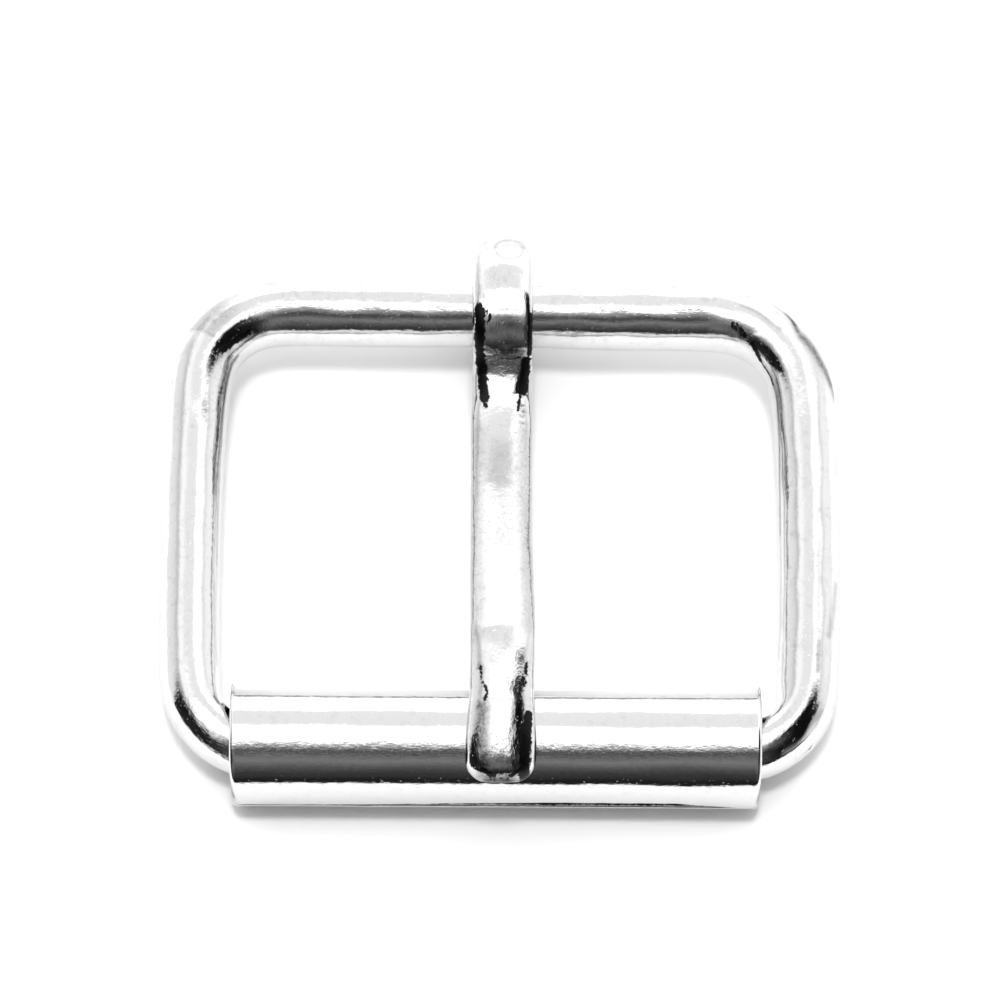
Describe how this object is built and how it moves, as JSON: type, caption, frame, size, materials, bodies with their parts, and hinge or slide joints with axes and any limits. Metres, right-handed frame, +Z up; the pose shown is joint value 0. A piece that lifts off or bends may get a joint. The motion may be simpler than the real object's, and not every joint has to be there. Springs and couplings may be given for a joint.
{
  "type": "single prong roller buckle",
  "caption": "Roller buckle of bent round wire with a loose sheet metal roller on the front bar and a curled wire prong on the back bar, for a belt or strap.",
  "frame": {"origin": "on the surface the buckle lies on, under the middle of its length and width", "axes": "+X along the back bar and the roller, -Y from the back bar to the roller and the prong's tip, +Z up from the surface"},
  "size_m": [0.0468, 0.0432, 0.0115],
  "materials": {
    "frame_plate": "bright nickel plate over steel, drawn and pitted, dark tarnish on the back corners",
    "roller_plate": "bright nickel plate over steel sheet, with fine turning scratches",
    "prong_plate": "bright nickel plate over steel, hammered and mottled, dark in the hollows"
  },
  "bodies": {
    "frame": {"wire_frame": "frame_plate"},
    "roller": {"roller": "roller_plate"},
    "prong": {"prong": "prong_plate"}
  },
  "joints": [
    {"name": "roller_spin", "type": "hinge", "parent": "frame", "child": "roller", "pos_m": [0, -0.01704, 0.004], "axis": [1, 0, 0], "continuous": true},
    {"name": "prong_swing", "type": "hinge", "parent": "frame", "child": "prong", "pos_m": [0.0004, 0.01616, 0.00545], "axis": [-1, 0, 0], "range_deg": [0, 178]}
  ]
}
